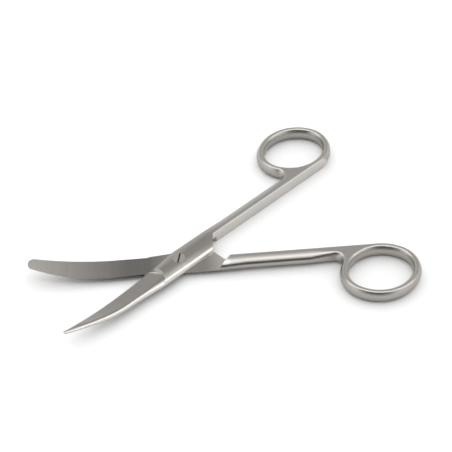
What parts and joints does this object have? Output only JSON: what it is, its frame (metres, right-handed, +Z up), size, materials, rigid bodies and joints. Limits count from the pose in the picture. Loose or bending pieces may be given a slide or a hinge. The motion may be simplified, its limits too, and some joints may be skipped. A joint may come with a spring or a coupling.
{
  "type": "dissecting scissors",
  "caption": "Curved dissecting scissors in satin stainless steel: a sharp-tipped and a blunt-tipped blade, oval finger rings and a lapped joint on a slotted pivot screw.",
  "frame": {"origin": "on the pivot axis, in the plane that the scissors lie on, which is the underside of joint, shanks and rings", "axes": "+X along the middle line of the open scissors from the tips towards the finger rings, +Z up along the pivot axis out of the screw's slotted head, +Y towards the ring of the sharp-tipped half, which is the upper one at the joint"},
  "size_m": [0.1303, 0.0952, 0.0083],
  "materials": {
    "satin_stainless_steel": "satin, fine transverse grinding on the blades' faces",
    "ground_screw_steel": "ground flush with the joint"
  },
  "bodies": {
    "lower": {"lower_half": "satin_stainless_steel", "pivot_screw": "ground_screw_steel"},
    "upper": {"upper_half": "satin_stainless_steel"}
  },
  "joints": [
    {"name": "pivot", "type": "hinge", "parent": "lower", "child": "upper", "pos_m": [0, 0, 0], "axis": [0, 0, 1], "range_deg": [-37.9, 102]}
  ]
}
